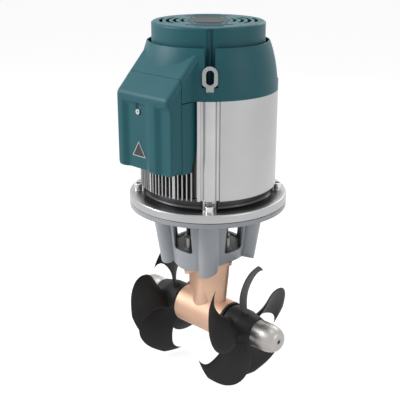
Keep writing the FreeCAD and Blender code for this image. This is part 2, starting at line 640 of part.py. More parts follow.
# ---- gear leg -------------------------------------------------------------------------------------
def lens(chord, thick, z):
    """Streamlined section: two arcs with rounded noses."""
    half, side = chord / 2, thick / 2
    nose = 0.24 * thick
    points = [Vector(half, 0, z), Vector(half - nose * 0.7, nose * 0.95, z), Vector(0, side, z),
              Vector(-half + nose * 0.7, nose * 0.95, z), Vector(-half, 0, z),
              Vector(-half + nose * 0.7, -nose * 0.95, z), Vector(0, -side, z),
              Vector(half - nose * 0.7, -nose * 0.95, z)]
    curve = Part.BSplineCurve()
    curve.interpolate(points, PeriodicFlag=True)
    return Part.Wire(curve.toShape())


def gear_leg():
    """Bronze leg: curved flange, streamlined strut and the gear house with its bores."""
    shell = TUNNEL_R - SADDLE_T
    flange = lobed_plate(0).common(
        xrod(shell, -90, 90).cut(xrod(shell - LEG_FLANGE_T, -90, 90)))
    sections = [lens(STRUT_CHORD + more, STRUT_THICK, z) for more, z in ((-10, 0), (0, 60), (9, 122))]
    for section, shift in zip(sections, STRUT_SHIFT):
        section.translate(Vector(shift, 0, 0))
    strut = Part.makeLoft(sections, True, False)
    spigot = rod(30, 110, FLOOR_Z[1])
    low = Part.Wire(Part.Circle(Vector(0, 0, 10), Vector(0, 0, 1), 33).toShape())
    top = Part.Wire(Part.Circle(Vector(0, 0, 84), Vector(0, 0, 1), 22).toShape())
    flare = Part.makeLoft([low, top], True, True)
    house = xrod(HOUSE_R, *HOUSE_X)
    body = join([flange, strut, spigot, flare, house])
    bores = [xrod(31, HOUSE_X[0] - 1, HOUSE_X[1] + 1), rod(21, 12, 64), rod(15, 60, 128),
             rod(21, 128, 151), rod(3, -60, -30, -20, 0), rod(7, -50, -38.2, -20, 0)]
    bores += [rod(STUD_R, 90, 140, x, y) for x, y in STUDS_AT]
    return body.cut(bores)


def oil_plug():
    plug = turned([(0, -34), (3, -34), (3, -38.2), (5.5, -38.2), (5.5, -41), (0, -41)])
    plug = plug.cut(hexagon_prism(2, 3).translated(Vector(0, 0, -42)))
    plug.translate(Vector(-20, 0, 0))
    return plug


def end_cap(x_face, outward):
    """Cap that closes the gear house round the shaft, with keyed notches on its rim."""
    cap = turned([(SHAFT_R + 7, -8), (30.9, -8), (30.9, 0), (37.5, 0), (37.5, CAP_RIM, 1),
                  (SHAFT_R + 7, CAP_RIM)])
    notch = box(33.5, 40, -2.6, 2.6, -1, CAP_RIM + 1)
    cap = cap.cut([at_angle(notch, a) for a in range(15, 375, 60)])
    cap.rotate(Vector(0, 0, 0), Vector(0, 1, 0), 90 * outward)
    cap.translate(Vector(x_face, 0, 0))
    return cap


def lip_seal(x_face, outward):
    seal = turned([(SHAFT_R + 0.3, 0), (SHAFT_R + 0.3, 1.5), (SHAFT_R + 6.95, 1.5),
                   (SHAFT_R + 6.95, -7), (SHAFT_R + 5, -7), (SHAFT_R + 5, -1), (SHAFT_R + 1.5, -1),
                   (SHAFT_R + 0.3, -2)])
    seal.rotate(Vector(0, 0, 0), Vector(0, 1, 0), 90 * outward)
    seal.translate(Vector(x_face, 0, 0))
    return seal


# ---- bevel gears ------------------------------------------------------------------------------------
def bevel_gear(teeth, mate_teeth, pitch_r, hub, phase):
    """Straight bevel gear about Z with its apex at the origin; hub is its back, as (r, z) points."""
    cone = math.atan2(teeth, mate_teeth)
    module = 2 * pitch_r / teeth
    distance = pitch_r / math.sin(cone)
    inner = (distance - FACE_WIDTH) / distance
    add, ded = 0.92 * module, 1.2 * module
    virtual = pitch_r / math.cos(cone)
    base = virtual * math.cos(math.radians(20))
    half_pitch = (math.pi * module / 2 - BACKLASH / 2) / (2 * virtual)

    def involute(r):
        ratio = min(1.0, base / r)
        angle = math.acos(ratio)
        return math.tan(angle) - angle

    flank = []
    for r in (virtual - ded - 0.3, virtual - 0.55 * ded, virtual, virtual + 0.5 * add, virtual + add):
        half = half_pitch + involute(virtual) - involute(r)
        flank.append((r * math.sin(half), r * math.cos(half) - virtual))
    profile = [(-t, h) for t, h in flank] + [(t, h) for t, h in reversed(flank)]

    def place(t, h, scale):
        radial = distance * math.sin(cone) + h * math.cos(cone)
        axial = distance * math.cos(cone) - h * math.sin(cone)
        return Vector(radial * scale, t * scale, axial * scale)

    outer_loop = [place(t, h, 1.0) for t, h in profile]
    inner_loop = [place(t, h, inner) for t, h in profile]
    tooth = Part.makeLoft([Part.makePolygon(loop + loop[:1]) for loop in (inner_loop, outer_loop)],
                          True, True)
    root_out, root_in = place(0, -ded, 1.0), place(0, -ded, inner)
    blank = turned([(root_in.x, root_in.z), (root_out.x, root_out.z)] + hub)
    step = 360.0 / teeth
    return join([blank] + [at_angle(tooth, phase + i * step) for i in range(teeth)])


def pinion_gear():
    """Teeth under, hub up the drive shaft; a tooth points to +X."""
    return bevel_gear(PINION_TEETH, GEAR_TEETH, PINION_R,
                      [(13.5, 33.5), (8, 33.5), (8, 20.5)], 0.0)


def crown_gear():
    """On the propeller shaft at +X, with a gap between teeth towards the pinion."""
    gear = bevel_gear(GEAR_TEETH, PINION_TEETH, GEAR_R,
                      [(24, 23), (19, 23), (19, 32), (SHAFT_R, 32), (SHAFT_R, 11.5)],
                      180.0 / GEAR_TEETH)
    gear.rotate(Vector(0, 0, 0), Vector(0, 1, 0), 90)
    gear.rotate(Vector(0, 0, 0), Vector(1, 0, 0), 180)
    return gear


# ---- shafts, coupling and propellers ----------------------------------------------------------
def drive_shaft():
    """Vertical shaft from the coupling down to the pinion."""
    return turned([(0, 20.5), (8, 20.5), (8, 36), (10, 36), (10, 64), (8.5, 64), (8.5, 132),
                   (10, 132), (10, 146), (9, 146), (9, 178), (0, 178)])


def coupling_half(z_face, z_back, shaft_r, up):
    """Jaw coupling half: hub with three jaws that reach into the spider."""
    body = tube(34, shaft_r, min(z_face, z_back), max(z_face, z_back))
    jaw_z = (z_face, z_face + 11) if up else (z_face - 11, z_face)
    jaw = sector(33, 15, 30, *jaw_z)
    start = 0 if up else 60
    return join([body] + [at_angle(jaw, start + a) for a in (0, 120, 240)])


def sector(outer, inner, half_angle, z0, z1):
    ring = tube(outer, inner, z0, z1)
    reach = 3 * outer
    across = math.tan(math.radians(half_angle - 8)) * reach
    wedge = Part.Face(Part.makePolygon([
        Vector(0, 0, z0), Vector(reach, -across, z0), Vector(reach, across, z0), Vector(0, 0, z0)]))
    return ring.common(wedge.extrude(Vector(0, 0, z1 - z0)))


def coupling_spider():
    """Rubber star between the jaws."""
    z0, z1 = COUPLING_Z[1] + 1, COUPLING_Z[2] - 1
    hub = tube(14.8, 10, z0, z1)
    arm = box(13, 32.5, -1.9, 1.9, z0, z1)
    return join([hub] + [at_angle(arm, 30 + a) for a in range(0, 360, 60)])


def propeller_shaft():
    """Through shaft that carries the crown gear and both propellers."""
    half = [(0, 0), (SHAFT_R, 0), (SHAFT_R, 118), (10, 122), (8, 122), (8, 146), (0, 146)]
    right = turned_x(half)
    whole = right.fuse([left_end(right), xrod(SHAFT_R, -20, 20)]).removeSplitter()
    return whole.cut(both_ends(shear_pin()))


def spread(shares, values, at):
    """Smooth (cubic Hermite) value at a share of the blade's height."""
    count = len(shares)

    def slope(i):
        low, high = max(i - 1, 0), min(i + 1, count - 1)
        return (values[high] - values[low]) / (shares[high] - shares[low])

    i = max(k for k in range(count - 1) if shares[k] <= at)
    width = shares[i + 1] - shares[i]
    t = (at - shares[i]) / width
    return ((2 * t ** 3 - 3 * t ** 2 + 1) * values[i] + (3 * t ** 2 - 2 * t ** 3) * values[i + 1]
            + (t ** 3 - 2 * t ** 2 + t) * width * slope(i) + (t ** 3 - t ** 2) * width * slope(i + 1))


def blade_points(share, side):
    """A row of points from trailing to leading edge on one side of the blade."""
    full_r = BLADE_ROOT_R + (PROP_R - BLADE_ROOT_R) * share
    lead, trail = spread(SHARES, LEADING, share), spread(SHARES, TRAILING, share)
    pitch = math.radians(spread(*PITCH, share))
    rake, thick = spread(*RAKE, share), spread(*THICK, share)
    row = []
    for along, full in STATIONS:
        r = full_r - TIP_DROP * (1 - along) * share ** 8
        angle = math.radians(trail + (lead - trail) * along)
        offset = side * full * thick / 2
        x = rake + r * angle * math.tan(pitch) + offset * math.cos(pitch)
        turn = math.radians(BLADE_START) + angle - offset * math.sin(pitch) / r
        row.append(Vector(PROP_X + x, r * math.cos(turn), r * math.sin(turn)))
    return row


def clamped_knots(poles):
    spans = poles - 3
    return [float(k) for k in range(spans + 1)], [4] + [1] * (spans - 1) + [4]


def blade():
    """Cubic suction and pressure skins that meet at both edges and the tip, closed at the root."""
    rows = len(BLADE_ROWS)
    row_knots, row_mults = clamped_knots(rows)
    knots, mults = clamped_knots(len(STATIONS))
    skins = []
    for side in (1, -1):
        skin = Part.BSplineSurface()
        skin.buildFromPolesMultsKnots([blade_points(share, side) for share in BLADE_ROWS],
                                      row_mults, mults, row_knots, knots, False, False, 3, 3)
        skins.append(skin)
    root = [skin.uIso(0.0).toShape() for skin in skins]
    faces = [skin.toShape() for skin in skins] + [Part.makeRuledSurface(*root)]
    shell = Part.makeShell(faces)
    shell.sewShape(0.01)
    return Part.makeSolid(shell)


def propeller():
    """Five skewed blades on a tapered hub, for the right-hand end."""
    x0, x1 = HUB_X
    hub = turned_x([(HUB_BORE_R, x0), (35.5, x0, 1.5), (35, x0 + 34), (ANODE_R + 0.6, x1, 3),
                    (20, x1), (20, 118), (HUB_BORE_R, 118)])
    wheel = hub.multiFuse([about_x(blade(), 360 / BLADES * i) for i in range(BLADES)])
    return wheel.cut(shear_pin())


def anode():
    """Domed zinc that screws over the shaft's end."""
    return turned_x([(16, HUB_X[1] + 0.4), (ANODE_R, HUB_X[1] + 0.4, 1), (ANODE_R, 166, 8),
                     (21.5, 180, 6), (12, ANODE_END_X, 3), (3.6, ANODE_END_X), (3.6, 182.5),
                     (2.6, 182.5), (2.6, 172), (16, 160)])


def anode_screw():
    screw = turned_x([(0, 150), (2.5, 150), (2.5, 182.6), (3.5, 182.6), (3.5, 186.4), (0, 186.4)])
    key = on_x(hexagon_prism(1.6, 3), 184.4)
    return screw.cut(key)


def propeller_nut():
    nut = on_x(hexagon_prism(12, 12), 122.2)
    return nut.cut(xrod(8, 100, 150))


def shear_pin():
    """Cross pin that keys the hub to the shaft."""
    return Part.makeCylinder(3, 60, Vector(84, 0, -30), Vector(0, 0, 1))


def left_end(shape):
    """The same piece turned round for the left-hand end."""
    return at_angle(shape, 180).translated(Vector(LEFT_SHIFT, 0, 0))


def both_ends(shape):
    return [shape, left_end(shape)]


def build():
    os.makedirs("parts", exist_ok=True)
    save("fan_cover", fan_cover())
    save("cover_badge", rod(39, CAP_TOP_Z, CAP_TOP_Z + 0.8))
    save("cover_screws", *cover_screws())
    save("upper_shroud", upper_shroud())
    save("lifting_lugs", *ring_of(lifting_lug(), LUGS_AT))
    save("motor_frame", motor_frame())
    for name, angle in (("side_panel_right", 0), ("side_panel_back", 90), ("side_panel_left", 180)):
        save(name, side_panel(angle))
    save("motor_end_shield", motor_end_shield())
    save("rear_end_shield", rear_end_shield())
    save("stator_core", stator_core())
    save("stator_windings", stator_windings())
    save("motor_shaft", motor_shaft())
    save("rotor", rotor())
    save("cooling_fan", cooling_fan())
    save("shaft_clip", shaft_clip())
    front_outer, front_inner = sealed_bearing(20, 45, 253, 276)
    rear_outer, rear_inner = sealed_bearing(15, 36, 448, 467)
    save("motor_bearing_outers", front_outer, rear_outer)
    save("motor_bearing_inners", front_inner, rear_inner)
    save("terminal_box_base", terminal_box_base())
    save("terminal_box_cover", terminal_box_cover())
    save("box_seal", box_seal())
    save("cover_screw", cover_screw())
    save("triangle_plate", triangle_plate())
    save("terminal_block", terminal_block())
    save("terminal_studs", *terminal_studs())
    save("motor_bracket", motor_bracket())
    save("flange_gasket", flange_gasket())
    save("flange_bolts", *flange_bolts())
    save("leg_washers", *leg_washers())
    save("leg_nuts", *leg_nuts())
    save("leg_studs", *leg_studs())
    save("saddle_gasket", saddle_gasket())
    save("gear_leg", gear_leg())
    save("oil_plug", oil_plug())
    save("end_cap_right", end_cap(HOUSE_X[1], 1))
    save("end_cap_left", end_cap(HOUSE_X[0], -1))
    save("lip_seals", lip_seal(HOUSE_X[1], 1), lip_seal(HOUSE_X[0], -1))
    low_outer, low_inner = sealed_bearing(10, 21, 48, 62)
    top_outer, top_inner = sealed_bearing(10, 21, 132, 144)
    save("drive_bearing_outers", low_outer, top_outer)
    save("drive_bearing_inners", low_inner, top_inner)
    outer, inner = sealed_bearing(SHAFT_R, 31, 0, 15)
    save("propeller_bearing_outers", on_x(outer, 36), on_x(outer, -46))
    save("propeller_bearing_inners", on_x(inner, 36), on_x(inner, -46))
    save("drive_shaft", drive_shaft())
    save("pinion_gear", pinion_gear())
    save("crown_gear", crown_gear())
    save("coupling_lower", coupling_half(COUPLING_Z[1], COUPLING_Z[0], 9, True))
    save("coupling_upper", coupling_half(COUPLING_Z[2], COUPLING_Z[3], 19, False))
    save("coupling_spider", coupling_spider())
    save("propeller_shaft", propeller_shaft())
    save("propeller_right", propeller())
    save("propeller_left", left_end(propeller()))
    save("propeller_nuts", *both_ends(propeller_nut()))
    save("shear_pins", *both_ends(shear_pin()))
    save("anode_right", anode())
    save("anode_left", left_end(anode()))
    save("anode_screws", *both_ends(anode_screw()))


build()
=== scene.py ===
import json
import math

import bmesh
import bpy
from mathutils import Matrix, Vector


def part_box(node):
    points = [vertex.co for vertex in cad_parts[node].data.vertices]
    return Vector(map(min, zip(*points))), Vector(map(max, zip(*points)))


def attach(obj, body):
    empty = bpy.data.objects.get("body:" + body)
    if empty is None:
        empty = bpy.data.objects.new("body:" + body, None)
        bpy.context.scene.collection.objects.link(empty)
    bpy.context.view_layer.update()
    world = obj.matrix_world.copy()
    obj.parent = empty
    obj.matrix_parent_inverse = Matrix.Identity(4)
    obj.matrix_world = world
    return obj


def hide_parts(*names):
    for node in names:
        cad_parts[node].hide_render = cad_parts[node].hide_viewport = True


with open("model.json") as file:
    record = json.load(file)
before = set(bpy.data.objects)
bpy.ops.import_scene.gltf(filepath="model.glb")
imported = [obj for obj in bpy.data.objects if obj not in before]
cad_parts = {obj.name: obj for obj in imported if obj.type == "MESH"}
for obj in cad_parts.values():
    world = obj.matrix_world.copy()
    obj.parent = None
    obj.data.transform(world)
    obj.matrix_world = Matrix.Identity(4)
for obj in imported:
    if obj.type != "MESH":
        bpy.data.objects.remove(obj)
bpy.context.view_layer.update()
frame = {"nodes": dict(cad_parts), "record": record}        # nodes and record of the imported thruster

scene = bpy.context.scene
scene.view_settings.view_transform = "Standard"
nodes = frame["nodes"]
slotOf = {part["node"]: part["material_slot"] for part in frame["record"]["subparts"]}
mm = 0.001


def rgb(red, green, blue):
    # 0-255 display values to a linear colour
    def linear(value):
        value /= 255
        return value / 12.92 if value <= 0.04045 else ((value + 0.055) / 1.055) ** 2.4
    return (linear(red), linear(green), linear(blue), 1.0)


# camera, floor and lights

view = {"at": (1.0123, -1.0623, 0.7588), "aim": (0.0265, -0.0490, 0.2574), "lens": 72.34,
        "sensor": 36}
floorLook = {"height": -0.1245, "half": 16.0, "colour": (0.9, 0.9, 0.9, 1), "share": 0.7,
             "glow": 1.24}
sky = {"light": 0.33, "seen": 1.0}
lampAim = (0, 0, 0.28)
lamps = {
    "keyLamp": {"at": (-1.7, -2.05, 1.7), "size": 1.4, "power": 54},
    "topLamp": {"at": (-0.35, 0.25, 2.6), "size": 1.3, "power": 20},
    "sideLamp": {"at": (2.5, 0.35, 1.1), "size": 0.9, "power": 9},
    "backLamp": {"at": (-0.6, 2.4, 1.5), "size": 1.2, "power": 12},
}


def lookAt(obj, at, aim):
    obj.location = at
    obj.rotation_euler = (Vector(aim) - Vector(at)).to_track_quat("-Z", "Y").to_euler()


def lightPathShare(tree, *rays):
    # 1 for the named kinds of ray, 0 for the others
    path = tree.nodes.new("ShaderNodeLightPath")
    share = path.outputs[rays[0]]
    for ray in rays[1:]:
        larger = tree.nodes.new("ShaderNodeMath")
        larger.operation = "MAXIMUM"
        tree.links.new(share, larger.inputs[0])
        tree.links.new(path.outputs[ray], larger.inputs[1])
        share = larger.outputs[0]
    return share


def makeStage():
    cameraData = bpy.data.cameras.new("viewCamera")
    cameraData.lens = view["lens"]
    cameraData.sensor_width = view["sensor"]
    camera = bpy.data.objects.new("viewCamera", cameraData)
    scene.collection.objects.link(camera)
    lookAt(camera, view["at"], view["aim"])
    scene.camera = camera

    world = bpy.data.worlds.new("softSky")
    world.use_nodes = True
    tree = world.node_tree
    background = tree.nodes["Background"]
    background.inputs["Color"].default_value = (1, 1, 1, 1)
    share = lightPathShare(tree, "Is Camera Ray", "Is Glossy Ray", "Is Transmission Ray")
    strength = tree.nodes.new("ShaderNodeMapRange")
    strength.inputs["To Min"].default_value = sky["light"]
    strength.inputs["To Max"].default_value = sky["seen"]
    tree.links.new(share, strength.inputs["Value"])
    tree.links.new(strength.outputs["Result"], background.inputs["Strength"])
    scene.world = world

    for name, lamp in lamps.items():
        data = bpy.data.lights.new(name, "AREA")
        data.shape = "DISK"
        data.size = lamp["size"]
        data.energy = lamp["power"]
        obj = bpy.data.objects.new(name, data)
        scene.collection.objects.link(obj)
        lookAt(obj, lamp["at"], lampAim)

    shape = bmesh.new()
    bmesh.ops.create_grid(shape, x_segments=1, y_segments=1, size=floorLook["half"])
    bmesh.ops.translate(shape, verts=shape.verts, vec=(0, 0, floorLook["height"]))
    mesh = bpy.data.meshes.new("studioFloor")
    shape.to_mesh(mesh)
    shape.free()
    floor = bpy.data.objects.new("studioFloor", mesh)
    scene.collection.objects.link(floor)
    paper = bpy.data.materials.new("studioPaper")
    paper.use_nodes = True
    tree = paper.node_tree
    tree.nodes.clear()
    matt = tree.nodes.new("ShaderNodeBsdfDiffuse")
    matt.inputs["Color"].default_value = floorLook["colour"]
    glow = tree.nodes.new("ShaderNodeEmission")
    glow.inputs["Strength"].default_value = floorLook["glow"]
    mixed = tree.nodes.new("ShaderNodeMixShader")
    share = lightPathShare(tree, "Is Camera Ray", "Is Glossy Ray", "Is Transmission Ray")
    scaled = tree.nodes.new("ShaderNodeMath")
    scaled.operation = "MULTIPLY"
    scaled.inputs[1].default_value = floorLook["share"]
    output = tree.nodes.new("ShaderNodeOutputMaterial")
    tree.links.new(share, scaled.inputs[0])
    tree.links.new(scaled.outputs[0], mixed.inputs["Fac"])
    tree.links.new(matt.outputs[0], mixed.inputs[1])
    tree.links.new(glow.outputs[0], mixed.inputs[2])
    tree.links.new(mixed.outputs[0], output.inputs["Surface"])
    floor.data.materials.append(paper)
    print("stage: camera, sky, lamps and floor")


# shared effects, each a node group that gives masks, values and normals; scales are per metre

grainEffect = {"fineDetail": 3.0, "broadDetail": 4.0}
wearEffect = {"samples": 4, "patches": 160.0, "detail": 2.0, "least": 0.35}
lineEffect = {"stretch": 0.0008, "detail": 2.0}
dustEffect = {"slope": 3.0, "patches": 35.0, "detail": 5.0}


def newGroup(name, inputs, outputs):
    group = bpy.data.node_groups.new(name, "ShaderNodeTree")
    for label, kind, value in inputs:
        socket = group.interface.new_socket(name=label, in_out="INPUT", socket_type=kind)
        if value is not None:
            socket.default_value = value
    for label, kind in outputs:
        group.interface.new_socket(name=label, in_out="OUTPUT", socket_type=kind)
    return group, group.nodes.new("NodeGroupInput"), group.nodes.new("NodeGroupOutput")


def mathNode(tree, operation, first, second=None, third=None):
    node = tree.nodes.new("ShaderNodeMath")
    node.operation = operation
    for socket, value in zip(node.inputs, (first, second, third)):
        if value is None:
            continue
        if isinstance(value, (int, float)):
            socket.default_value = value
        else:
            tree.links.new(value, socket)
    return node.outputs[0]


def noiseNode(tree, vector, scale, detail, dimensions="3D"):
    node = tree.nodes.new("ShaderNodeTexNoise")
    node.noise_dimensions = dimensions
    for label, value in (("Vector", vector), ("Scale", scale), ("Detail", detail)):
        if isinstance(value, (int, float)):
            node.inputs[label].default_value = value
        else:
            tree.links.new(value, node.inputs[label])
    return node.outputs["Fac"]


def makeSurfaceGrain():
    # fine grain for bump and roughness, broad clouding for colour
    group, given, result = newGroup("surfaceGrain", [
        ("Vector", "NodeSocketVector", None), ("Grain", "NodeSocketFloat", 900.0),
        ("Cloud", "NodeSocketFloat", 14.0)],
        [("Fine", "NodeSocketFloat"), ("Broad", "NodeSocketFloat")])
    fine = noiseNode(group, given.outputs["Vector"], given.outputs["Grain"],
                     grainEffect["fineDetail"])
    broad = noiseNode(group, given.outputs["Vector"], given.outputs["Cloud"],
                      grainEffect["broadDetail"])
    group.links.new(fine, result.inputs["Fine"])
    group.links.new(broad, result.inputs["Broad"])
    return group


def makeEdgeWearAndHighlight():
    # where edges turn brighter, from rubbed wear and a painted edge highlight both, and a softly rounded normal
    group, given, result = newGroup("edgeWearAndHighlight", [
        ("Vector", "NodeSocketVector", None), ("Radius", "NodeSocketFloat", 0.0006),
        ("Spread", "NodeSocketFloat", 0.25)],
        [("Mask", "NodeSocketFloat"), ("Normal", "NodeSocketVector")])
    rounded = group.nodes.new("ShaderNodeBevel")
    rounded.samples = wearEffect["samples"]
    group.links.new(given.outputs["Radius"], rounded.inputs["Radius"])
    geometry = group.nodes.new("ShaderNodeNewGeometry")
    facing = group.nodes.new("ShaderNodeVectorMath")
    facing.operation = "DOT_PRODUCT"
    group.links.new(rounded.outputs["Normal"], facing.inputs[0])
    group.links.new(geometry.outputs["Normal"], facing.inputs[1])
    bend = mathNode(group, "SUBTRACT", 1.0, facing.outputs["Value"])
    share = mathNode(group, "DIVIDE", bend, given.outputs["Spread"])
    patchy = noiseNode(group, given.outputs["Vector"], wearEffect["patches"],
                       wearEffect["detail"])
    mask = mathNode(group, "MULTIPLY", share,
                    mathNode(group, "ADD", patchy, wearEffect["least"]))
    clamped = group.nodes.new("ShaderNodeClamp")
    group.links.new(mask, clamped.inputs["Value"])
    group.links.new(clamped.outputs[0], result.inputs["Mask"])
    group.links.new(rounded.outputs["Normal"], result.inputs["Normal"])
    return group


def aboutZ(tree, apart):
    # radius and angle about Z of a separated vector
    squares = [mathNode(tree, "MULTIPLY", apart.outputs[i], apart.outputs[i]) for i in (0, 1)]
    radius = mathNode(tree, "SQRT", mathNode(tree, "ADD", *squares))
    return radius, mathNode(tree, "ARCTAN2", apart.outputs[1], apart.outputs[0])


def makeToolLines():
    # fine lines that follow a lathe tool about Z
    group, given, result = newGroup("toolLines", [
        ("Vector", "NodeSocketVector", None), ("Density", "NodeSocketFloat", 2500.0)],
        [("Lines", "NodeSocketFloat")])
    apart = group.nodes.new("ShaderNodeSeparateXYZ")
    group.links.new(given.outputs["Vector"], apart.inputs[0])
    radius, angle = aboutZ(group, apart)
    turned = group.nodes.new("ShaderNodeCombineXYZ")
    group.links.new(radius, turned.inputs[0])
    group.links.new(apart.outputs[2], turned.inputs[1])
    group.links.new(mathNode(group, "MULTIPLY", angle, lineEffect["stretch"]), turned.inputs[2])
    lines = noiseNode(group, turned.outputs[0], given.outputs["Density"], lineEffect["detail"])
    group.links.new(lines, result.inputs["Lines"])
    return group


def makeSettledDust():
    # a thin patchy film on faces that look up
    group, given, result = newGroup("settledDust", [
        ("Vector", "NodeSocketVector", None), ("Amount", "NodeSocketFloat", 0.2)],
        [("Mask", "NodeSocketFloat")])
    geometry = group.nodes.new("ShaderNodeNewGeometry")
    apart = group.nodes.new("ShaderNodeSeparateXYZ")
    group.links.new(geometry.outputs["Normal"], apart.inputs[0])
    upward = mathNode(group, "POWER", mathNode(group, "MAXIMUM", apart.outputs[2], 0.0),
                      dustEffect["slope"])
    patchy = noiseNode(group, given.outputs["Vector"], dustEffect["patches"],
                       dustEffect["detail"])
    mask = mathNode(group, "MULTIPLY", mathNode(group, "MULTIPLY", upward, patchy),
                    given.outputs["Amount"])
    group.links.new(mask, result.inputs["Mask"])
    return group


def makeDeepShade():
    # mask for painted shade: 1 inside a radius about Z, fading out to a larger one, between two heights;
    # Spare is the half angle, in radians, that is left out around each diagonal's column
    group, given, result = newGroup("deepShade", [
        ("Vector", "NodeSocketVector", None), ("Inner", "NodeSocketFloat", 0.1),
        ("Outer", "NodeSocketFloat", 0.12), ("Low", "NodeSocketFloat", 0.0),
        ("High", "NodeSocketFloat", 1.0), ("Spare", "NodeSocketFloat", 0.0)],
        [("Mask", "NodeSocketFloat")])
    apart = group.nodes.new("ShaderNodeSeparateXYZ")
    group.links.new(given.outputs["Vector"], apart.inputs[0])
    radius, angle = aboutZ(group, apart)
    fade = group.nodes.new("ShaderNodeMapRange")
    fade.interpolation_type = "SMOOTHSTEP"
    group.links.new(radius, fade.inputs["Value"])
    group.links.new(given.outputs["Inner"], fade.inputs["From Min"])
    group.links.new(given.outputs["Outer"], fade.inputs["From Max"])
    fade.inputs["To Min"].default_value, fade.inputs["To Max"].default_value = 1.0, 0.0
    above = mathNode(group, "GREATER_THAN", apart.outputs[2], given.outputs["Low"])
    below = mathNode(group, "LESS_THAN", apart.outputs[2], given.outputs["High"])
    diagonal = mathNode(group, "ABSOLUTE", mathNode(
        group, "SINE", mathNode(group, "MULTIPLY", angle, 2.0)))
    atEdge = mathNode(group, "COSINE", mathNode(group, "MULTIPLY", given.outputs["Spare"], 2.0))
    onColumn = mathNode(group, "GREATER_THAN", diagonal, atEdge)
    mask = mathNode(group, "MULTIPLY", fade.outputs[0], mathNode(group, "MULTIPLY", above, below))
    mask = mathNode(group, "MULTIPLY", mask, mathNode(group, "SUBTRACT", 1.0, onColumn))
    group.links.new(mask, result.inputs["Mask"])
    return group


surfaceGrain, edgeWearAndHighlight = makeSurfaceGrain(), makeEdgeWearAndHighlight()
toolLines, settledDust, deepShade = makeToolLines(), makeSettledDust(), makeDeepShade()
print("effects: grain, edge wear, tool lines, dust and deep shade")
